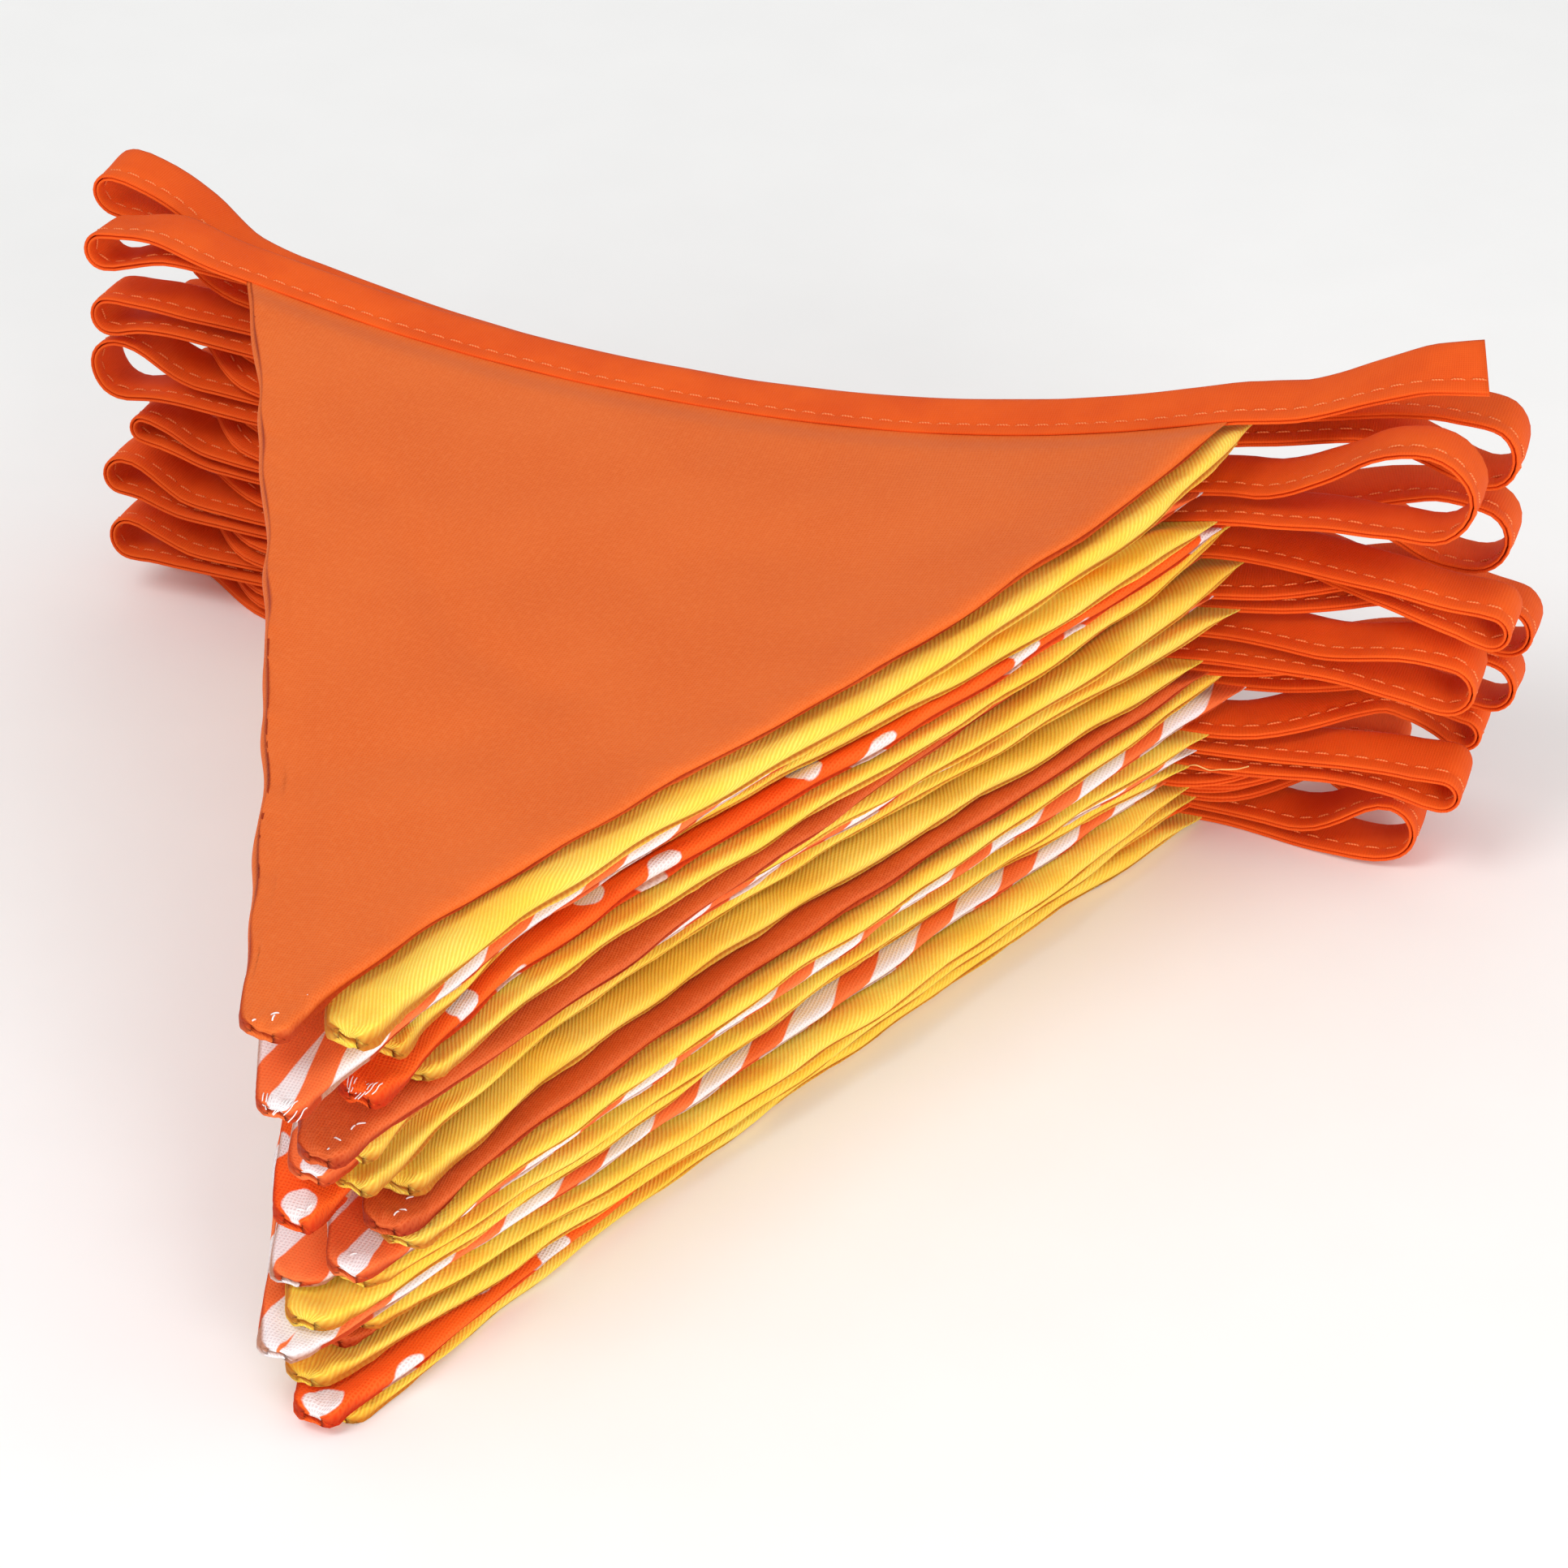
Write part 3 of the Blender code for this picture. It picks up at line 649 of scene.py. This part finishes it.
# The even rows and columns of the top flag, which is seen whole, and of each of the others
FINE, COARSE = (110, 60), (80, 9)
pennants, tops = [], []
for index, flag in enumerate(FLAGS):
    surfaces = flag_surfaces(index, *(COARSE if index else FINE))
    pennant = sewn(f"pennant_{index + 1:02d}", surfaces, CUT_START + index * CUT_STEP)
    pennant.data.materials.append(CLOTHS[flag["cloth"]] if index else orange)
    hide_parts(f"flag_{index + 1:02d}")
    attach(pennant, "root")
    pennants.append(pennant)
    tops.append(surfaces[0][0].reshape(-1, 3))


# --- The tape ---------------------------------------------------------------------------------------
# One strip of plain-woven cotton, 26 mm wide, folded along its middle over the flags' top edges and
# sewn shut. Between one flag and the next it turns back on itself in a loop, which stands open.

# Each loop, from the top one down: how far out it reaches, where its nose lies from front to back and how
# high, its radius, how far it leans, and the share of its strands that the stack still holds
LOOP_COLUMNS = ("reach", "depth", "height", "radius", "lean", "hold")
RIGHT_LOOPS = (
    (154, 16, 84.3, 6.3, 0, 0.4), (150, -5, 85.0, 8.8, -4, 0.2), (154, 16, 65.2, 7.0, -6, 0.4),
    (158, -4, 59.0, 3.2, 0, 0.5), (160, 17, 45.6, 5.2, -7, 0.5), (153, -4, 45.3, 5.4, 2, 0.45),
    (158, 16, 33.0, 4.8, -10, 0.5), (152, 16, 22.5, 3.0, 0, 0.55), (152, -4, 21.0, 3.2, 4, 0.5),
    (137, 17, 13.0, 2.4, 0, 0.6), (130, 18, 5.1, 2.0, 0, 0.6), (145, -1, 7.5, 5.5, -3, 0.5),
)
LEFT_LOOPS = (
    (140, 12, 81.8, 3.4, -8, 0.5), (147, 31, 84.6, 4.2, 2, 0.3), (140, 12, 67.4, 3.4, -4, 0.5),
    (133, 28, 60.0, 3.2, 0, 0.6), (142, 12, 54.4, 5.8, -8, 0.5), (131, 28, 44.5, 3.0, 0, 0.6),
    (134, 12, 41.0, 2.4, -5, 0.5), (139, 28, 34.6, 3.0, -5, 0.6), (141, 12, 29.0, 3.9, -4, 0.55),
    (134, 28, 18.6, 3.0, 0, 0.6), (141, 12, 13.6, 4.2, -4, 0.55), (130, 28, 6.3, 2.0, 0, 0.6),
)
TOP_END = {"reach": 148, "depth": 7, "height": 104.6, "lean": 21, "hold": 0.2}
BOTTOM_END = {"reach": 134, "depth": 26, "height": 1.0, "lean": 0, "hold": 0.6}

# How far a straight run goes on past its flag's corners, and how many stations it has
RUN_ON, RUN_STATIONS = 1.5, 24

# The stations of a strand, as shares of its length, by which share it has moved aside, and the number of
# steps round a loop's nose
STRAND_ALONG = (0.12, 0.24, 0.37, 0.5, 0.63, 0.76, 0.88, 1.0)
ASIDE_BY = 0.85
NOSE_STEPS = 6


def lying(index, x, y):
    """How high the tape lies in a flag's layer with its middle at a point, and how far it leans."""
    front, back = (float(layer(index, x, y + way * TAPE_WIDTH / 2)[0]) for way in (-1, 1))
    return (front + back + TAPE_THICKNESS) / 2, math.atan2(back - front, TAPE_WIDTH)


def run_station(index, x):
    """A point of the tape's straight run along one flag, with its lean and how free it is to wave."""
    flag = FLAGS[index]
    left, right = flag["left_x"] - FLAG_WIDTH / 2, flag["right_x"] + FLAG_WIDTH / 2
    share = (x - left) / (right - left)
    sag = TOP_SAG * arch(min(1.0, max(0.0, share)))
    y = mix(flag["left_y"], flag["right_y"], share) - sag + TAPE_GAP + TAPE_WIDTH / 2
    return (x, y, *lying(index, x, y), 0.0)


def straight_run(index, side):
    flag = FLAGS[index]
    left, right = flag["left_x"] - FLAG_WIDTH / 2 - RUN_ON, flag["right_x"] + FLAG_WIDTH / 2 + RUN_ON
    places = np.linspace(left, right, RUN_STATIONS)
    return [run_station(index, float(x)) for x in (places if side > 0 else places[::-1])]


def strand(index, start, end, row):
    """One of a loop's strands: it moves aside within its layer first, and then takes the nose's height."""
    stations = []
    for share in STRAND_ALONG:
        x, y = mix(start[0], end[0], share), mix(start[1], end[1], float(ease(share / ASIDE_BY)))
        in_layer, lean = lying(index, x, y)
        free = float(ease((share - row["hold"]) / (1 - row["hold"])))
        lean = mix(lean, math.radians(row["lean"]), free)
        stations.append((x, y, mix(in_layer, end[2], free), lean, free))
    return stations


def loop(index, upper, lower, side, row):
    """A loop's stations from one flag's layer round its nose to the next one's."""
    lean, radius = math.radians(row["lean"]), row["radius"]
    nose = np.array([side * (row["reach"] - radius - TAPE_THICKNESS / 2), row["depth"], row["height"]])
    rise = np.array([0, -math.sin(lean), math.cos(lean)]) * radius
    path = strand(index, upper, nose + rise, row)
    for step in range(1, NOSE_STEPS):
        angle = math.pi * step / NOSE_STEPS
        point = nose + rise * math.cos(angle) + np.array([side * radius * math.sin(angle), 0, 0])
        path.append((*point, lean, 1.0))
    return path + strand(index + 1, lower, nose - rise, row)[::-1]


def cut_end(index, start, side, row):
    return strand(index, start, (side * row["reach"], row["depth"], row["height"]), row)


sides = [-1 if index % 2 == 0 else 1 for index in range(COUNT)]
runs = [straight_run(index, side) for index, side in enumerate(sides)]
noses = {-1: iter(LEFT_LOOPS), 1: iter(RIGHT_LOOPS)}
stations = cut_end(0, runs[0][0], 1, TOP_END)[::-1]
for index, run in enumerate(runs):
    stations += run
    if index + 1 < COUNT:
        nose = dict(zip(LOOP_COLUMNS, next(noses[sides[index]])))
        stations += loop(index, run[-1], runs[index + 1][0], sides[index], nose)
    else:
        stations += cut_end(index, run[-1], sides[index], BOTTOM_END)
stations = np.array(stations)


def smooth_line(values, spacing, fewest):
    """A smooth curve through stations that lie unevenly, with its points about one spacing apart."""
    steps = np.linalg.norm(np.diff(values[:, :3], axis=0), axis=1)
    slopes = np.diff(values, axis=0) / steps[:, None]
    tangents = np.empty_like(values)
    tangents[0], tangents[-1] = slopes[0], slopes[-1]
    before, after = steps[:-1, None], steps[1:, None]
    tangents[1:-1] = (slopes[1:] * before + slopes[:-1] * after) / (before + after)
    pieces = []
    for i, step in enumerate(steps):
        count = max(fewest, math.ceil(step / spacing))
        t = np.linspace(0, 1, count, endpoint=False)[:, None]
        pieces.append(
            (2 * t**3 - 3 * t**2 + 1) * values[i]
            + (t**3 - 2 * t**2 + t) * step * tangents[i]
            + (3 * t**2 - 2 * t**3) * values[i + 1]
            + (t**3 - t**2) * step * tangents[i + 1]
        )
    pieces.append(values[-1:])
    return np.concatenate(pieces)


def unit(vectors):
    return vectors / np.linalg.norm(vectors, axis=-1, keepdims=True)


# The tape's uneven waves, out of its plane and within it: their heights where a flag holds it and where it
# hangs free, and those of its long edges where it hangs free
RIPPLE_HEIGHTS, SWING_HEIGHTS, EDGE_RIPPLE = (0.06, 0.5), (0.0, 0.5), 0.22

line = smooth_line(stations, spacing=3.2, fewest=2)
centres, leans, freedom = line[:, :3], line[:, 3], line[:, 4]
reach = np.concatenate([[0], np.cumsum(np.linalg.norm(np.diff(centres, axis=0), axis=1))])
along = unit(np.gradient(centres, reach, axis=0))
wide = np.stack([np.zeros_like(leans), np.cos(leans), np.sin(leans)], axis=1)
wide = unit(wide - along * (wide * along).sum(axis=1, keepdims=True))
out = np.cross(wide, along)
ripple = mix(*RIPPLE_HEIGHTS, freedom) * wander(reach, pitch=34, seed=1.3)
swing = mix(*SWING_HEIGHTS, freedom) * wander(reach, pitch=52, seed=5.1)
centres = centres + out * ripple[:, None] + wide * swing[:, None]

# Half of the folded strip's section, from its open edge round the outside to its fold, as points across
# and out from its middle. The other half mirrors it, and the slit between them ends short of the fold.
TAPE_SECTION = (
    (-6.25, 0.14), (-6.5, 0.3), (-6.45, 0.56), (-6.1, 0.7), (-5.0, 0.72), (-3.9, 0.66), (-3.4, 0.54),
    (-2.9, 0.66), (-0.5, 0.74), (3.6, 0.74), (5.6, 0.62), (6.4, 0.32),
)
SLIT = ((0.0, -0.08), (5.2, 0.0), (0.0, 0.08))
outer = np.array(TAPE_SECTION)
section = np.concatenate([outer, outer[::-1] * (1, -1), SLIT])
edge_wave = EDGE_RIPPLE * wander(reach, pitch=19, seed=2.7) * freedom
lift = section[:, 1] + edge_wave[:, None] * np.abs(section[:, 0]) / (TAPE_WIDTH / 2)
rings = centres[:, None, :] + wide[:, None, :] * section[:, 0:1] + out[:, None, :] * lift[:, :, None]

# The upper end is cut askew: by how much, and over how many rings that is taken up
CUT_ASKEW, ASKEW_RINGS = 3.4, 4
for step in range(ASKEW_RINGS):
    askew = CUT_ASKEW * (1 - step / ASKEW_RINGS) * (section[:, 0:1] / TAPE_WIDTH + 0.5)
    rings[step] += along[step] * askew
rings[:, :, 2] = np.maximum(rings[:, :, 2], OFF_FLOOR)
count, around = rings.shape[:2]
numbers = np.arange(count * around).reshape(count, around)
numbers = np.concatenate([numbers, numbers[:, :1]], axis=1)
girth = np.linalg.norm(np.diff(np.vstack([section, section[:1]]), axis=0), axis=1)
girth = np.concatenate([[0], np.cumsum(girth)])
flat = np.stack(np.broadcast_arrays(reach[:, None], girth), axis=2)
faces = corner_blocks(numbers).tolist()
tape = soft_mesh("tape_folded", rings.reshape(-1, 3), faces, corner_blocks(flat))
face_out(tape, open_ends=True)

# Poplin: threads at 0.3 mm, drawn at 0.5 mm, deep orange-red
poplin, tree, shader, flat_socket = cotton("tape_poplin", roughness=0.75, sheen=0.015, bloom="#FF7038")
weave = woven(tree, flat_socket, pitch=0.5)
shade = dyed(tree, flat_socket, "#DC480A", "#EC5810", size=20)
# Painted highlight: the threads' crests are tinted a lighter orange
surfaced(tree, shader, tinted(tree, weave, shade, linear("#F6702C"), amount=0.35), weave, depth=0.05)
tape.data.materials.append(poplin)
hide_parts("tape")
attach(tape, "root")


# --- The stitching ----------------------------------------------------------------------------------
# A lockstitch in pale orange polyester runs the whole length of the tape, 3 mm from its open edge, on
# both faces. Each stitch lies on the cloth and dives into it at its two ends.

STITCH_PITCH, STITCH_LENGTH, STITCH_RADIUS = 3.9, 3.1, 0.2

# Where the stitching lies across the tape and how high, how far from its ends it stops, how far a stitch
# can slant, and how thick it is and how deep where it dives into the cloth
STITCH_LINE, STITCH_HEIGHT, STITCH_MARGIN, STITCH_SLANT = -3.4, 0.68, 2.5, 0.16
DIVE_WIDTH, DIVE_DEPTH = 0.55, 0.3

# It makes a sine jump about, in place of chance
CHANCE = 12.9898
bpy.ops.mesh.primitive_cylinder_add(
    vertices=5, radius=STITCH_RADIUS, depth=STITCH_LENGTH, rotation=(0, math.pi / 2, 0)
)
stitch = bpy.context.object
bpy.ops.object.transform_apply(location=True, rotation=True, scale=True)
bpy.ops.object.mode_set(mode="EDIT")
# Two cuts near its ends let it bend down there
for cut in (-0.27, 0.27):
    bpy.ops.mesh.select_all(action="SELECT")
    bpy.ops.mesh.bisect(plane_co=(cut * STITCH_LENGTH, 0, 0), plane_no=(1, 0, 0))
bpy.ops.object.mode_set(mode="OBJECT")
shape = np.array([v.co[:] for v in stitch.data.vertices])
stitch_faces = [list(p.vertices) for p in stitch.data.polygons]
bpy.data.objects.remove(stitch, do_unlink=True)
ends = np.abs(shape[:, 0]) > 0.4 * STITCH_LENGTH
shape[ends, 1:] *= DIVE_WIDTH
shape[ends, 2] -= DIVE_DEPTH


def along_tape(values, places):
    """Each column of some values that go with the tape's centre line, at places along it."""
    return np.stack([np.interp(places, reach, values[:, i]) for i in range(values.shape[1])], axis=-1)


thread, tree, shader, flat_socket = cotton("pale_thread", roughness=0.5, sheen=0.1, bloom="#FFC8A0")
plies = threads(tree, flat_socket, pitch=0.5, angle=30)
# The thread is lighter on its plies' crests, a painted highlight, and darker between them, painted shade
surfaced(tree, shader, tinted(tree, plies, linear("#E06028"), linear("#F89458")), plies, depth=0.05)
starts = np.arange(STITCH_MARGIN, reach[-1] - STITCH_MARGIN, STITCH_PITCH)
slant = STITCH_SLANT * np.sin(starts * CHANCE)
places = starts[:, None] + shape[:, 0]
sideways = (shape[:, 1] + slant[:, None] * shape[:, 0] / STITCH_LENGTH + STITCH_LINE).ravel()
point, width_way, out_way = (along_tape(values, places.ravel()) for values in (centres, unit(wide), out))
faces = [[k * len(shape) + i for i in face] for k in range(len(starts)) for face in stitch_faces]
flat = np.stack([places.ravel(), sideways], axis=1)[np.concatenate(faces)]
for face, sign in (("upper", 1), ("lower", -1)):
    lifted = np.tile(sign * (shape[:, 2] + STITCH_HEIGHT), len(starts))
    points = point + width_way * sideways[:, None] + out_way * lifted[:, None]
    piece = soft_mesh(f"stitches_{face}", points, faces, flat)
    piece.data.materials.append(thread)
    face_out(piece)
    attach(piece, "root")


# --- The tip stitches and thread ends ----------------------------------------------------------------
# After a flag is turned, its tip is closed by hand with a few stitches in white cotton thread. Here and
# there a thread of the yellow twill has worked loose at a corner, and two tips are frayed.

# The flag, counted from 0 at the top, where the stitch lies, its direction in degrees, and its length
TIP_STITCHES = (
    (0, -1.2, -210.2, 40, 1.5), (0, -1.0, -211.2, 95, 1.2), (0, -3.8, -212.9, 65, 1.4),
    (0, 2.4, -204.6, 25, 1.1), (7, 9.4, -203.9, 25, 1.7), (7, 8.4, -205.0, 80, 1.3),
    (7, 7.2, -208.4, -20, 1.6), (7, 6.2, -211.0, 50, 1.5), (13, 13.4, -196.0, 40, 1.4),
    (13, 14.0, -200.4, 0, 1.4), (13, 13.4, -201.6, 70, 1.3), (11, 2.8, -211.5, 65, 1.5),
    (11, 1.4, -212.2, 10, 1.3), (15, 7.6, -206.5, 30, 1.4), (21, 3.2, -206.8, 50, 1.4),
)

# The frayed tips: the flag, where its torn threads begin and end across the tip, its y, and their number
FRAYED_TIPS = ((3, -1.5, 6.5, -217.6, 12), (5, 5.8, 12.4, -201.8, 9))

# How far inside the tip's edge a torn thread leaves the cloth, how long it is, and how much that varies
TORN_INSIDE, TORN_LENGTH, TORN_VARIES = 1.2, 1.7, 0.8

# A stitch's course: shares of its half length from its middle, and how high it lies over the cloth
STITCH_COURSE = ((-1, -0.3), (-0.75, 0.0), (0, 0.1), (0.75, 0.0), (1, -0.3))

# Thread ends as points, which a smooth curve follows
THREAD_ENDS = (
    (
        (99.0, -13.0, 18.6), (101.4, -14.6, 20.6), (104.0, -14.0, 19.6), (106.4, -14.8, 20.8),
        (109.0, -14.2, 21.0), (111.8, -15.0, 22.8),
    ),
    ((92.0, -13.4, 6.6), (92.8, -14.4, 8.8), (92.4, -14.2, 10.6), (94.0, -14.8, 12.8)),
)


def thread_piece(name, paths, radius, material):
    """Round threads of one radius, in millimetres, along smooth lines through some points."""
    curve = bpy.data.curves.new(name, "CURVE")
    curve.dimensions, curve.bevel_depth = "3D", radius * MM
    curve.bevel_resolution, curve.use_fill_caps = 1, True
    for path in paths:
        run = smooth_line(np.asarray(path, float), spacing=0.7, fewest=3)
        spline = curve.splines.new("POLY")
        spline.points.add(len(run) - 1)
        for point, place in zip(spline.points, run):
            point.co = (*((place + SHIFT) * MM), 1.0)
    piece = placed(name, curve)
    bpy.context.view_layer.objects.active = piece
    piece.select_set(True)
    bpy.ops.object.convert(target="MESH")
    piece = bpy.context.object
    face_out(piece)
    piece.data.shade_smooth()
    piece.data.materials.append(material)
    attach(piece, "root")


def spun(name, bloom, darker, lighter):
    """A spun cotton thread, whose colour varies from fibre to fibre."""
    material, tree, shader, _ = cotton(name, roughness=0.7, sheen=0.1, bloom=bloom)
    place = add(tree, "TexCoord", out="Object")
    fibres = add(tree, "TexNoise", {"Vector": place, "Scale": 2500.0}, out="Fac")
    tree.links.new(tinted(tree, fibres, linear(darker), linear(lighter)), shader.inputs["Base Color"])
    return material


def top_height(index, spot):
    """How high the top of a flag lies at a spot seen from above, from its three nearest points."""
    near = np.argsort(((tops[index][:, :2] - spot) ** 2).sum(axis=1))[:3]
    return tops[index][near, 2].mean()


white_thread = spun("white_thread", "#FFFFFF", "#E6DCDC", "#FFFDFB")
stitched = []
for index, x, y, way, length in TIP_STITCHES:
    turn = np.array([math.cos(math.radians(way)), math.sin(math.radians(way))]) * length / 2
    spots = [(np.array([x, y]) + turn * share, lift) for share, lift in STITCH_COURSE]
    stitched.append([(*spot, top_height(index, spot) + lift) for spot, lift in spots])
thread_piece("tip_stitches", stitched, radius=0.15, material=white_thread)

torn = []
for index, first_x, last_x, y, count in FRAYED_TIPS:
    for k in range(count):
        x, turn = mix(first_x, last_x, (k + 0.5) / count), math.sin(CHANCE * (k + index))
        height = top_height(index, (x, y + TORN_INSIDE))
        length = TORN_LENGTH + TORN_VARIES * math.sin(7.7 * k)
        # From inside the cloth over the tip's edge, and down beside it to a loose end
        torn.append([
            (x, y + TORN_INSIDE, height - 0.1),
            (x + 0.3 * turn, y + 0.3, height + 0.1),
            (x + 0.7 * turn, y - 0.5 * length, height - 0.5),
            (x + 1.4 * turn, y - length, height - 0.6 + 0.5 * turn),
        ])
thread_piece("torn_threads", torn, radius=0.1, material=white_thread)

loose_thread = spun("loose_thread", "#FFE8B0", "#E8A860", "#FFD890")
thread_piece("thread_ends", THREAD_ENDS, radius=0.13, material=loose_thread)


# --- The studio -------------------------------------------------------------------------------------
# A plain pale floor, light from all round, a large soft light from the upper left and another, low at the
# right, that reaches between the flags, and the camera where the photograph was taken from: in front of
# the tips and above them, a little to the right.

bpy.ops.mesh.primitive_plane_add(size=6)
floor = bpy.context.object
floor.name = "studio_floor"
floor.select_set(False)
paper = bpy.data.materials.new("white_paper")
paper.use_nodes = True
tree = paper.node_tree
place = add(tree, "TexCoord", out="Object")
grain = add(tree, "TexNoise", {"Vector": place, "Scale": 40.0, "Detail": 2.0}, out="Fac")
face = tree.nodes["Principled BSDF"].inputs
tree.links.new(tinted(tree, grain, linear("#F8F8F7"), linear("#FCFCFB")), face["Base Color"])
face["Roughness"].default_value = 0.9
floor.data.materials.append(paper)

world = bpy.data.worlds.new("studio")
bpy.context.scene.world = world
world.use_nodes = True
sky = world.node_tree.nodes["Background"].inputs
sky["Color"].default_value = linear("#FFFFFF")
sky["Strength"].default_value = 0.7

# What the camera and the lamps point at
target = Vector((0.0305, 0.01916, 0.040))


def lamp(name, place, watts, size=0.8):
    light = bpy.data.lights.new(name, "AREA")
    light.shape, light.size, light.energy = "DISK", size, watts
    item = placed(name, light)
    item.location = place
    item.rotation_euler = (target - Vector(place)).to_track_quat("-Z", "Y").to_euler()


lamp("key_light", (-0.5, -0.75, 1.35), watts=7.8)
lamp("fill_light", (1.15, -1.15, 0.45), watts=14)

DISTANCE, AZIMUTH, ELEVATION = 0.8, math.radians(18.6), math.radians(34.4)
camera = placed("camera", bpy.data.cameras.new("camera"))
away = Vector((
    math.sin(AZIMUTH) * math.cos(ELEVATION), -math.cos(AZIMUTH) * math.cos(ELEVATION), math.sin(ELEVATION)
))
camera.location = target + away * DISTANCE
camera.rotation_euler = (-away).to_track_quat("-Z", "Y").to_euler()
camera.data.sensor_width = 36
camera.data.lens = 99.65
bpy.context.scene.camera = camera
bpy.context.scene.view_settings.view_transform = "Standard"
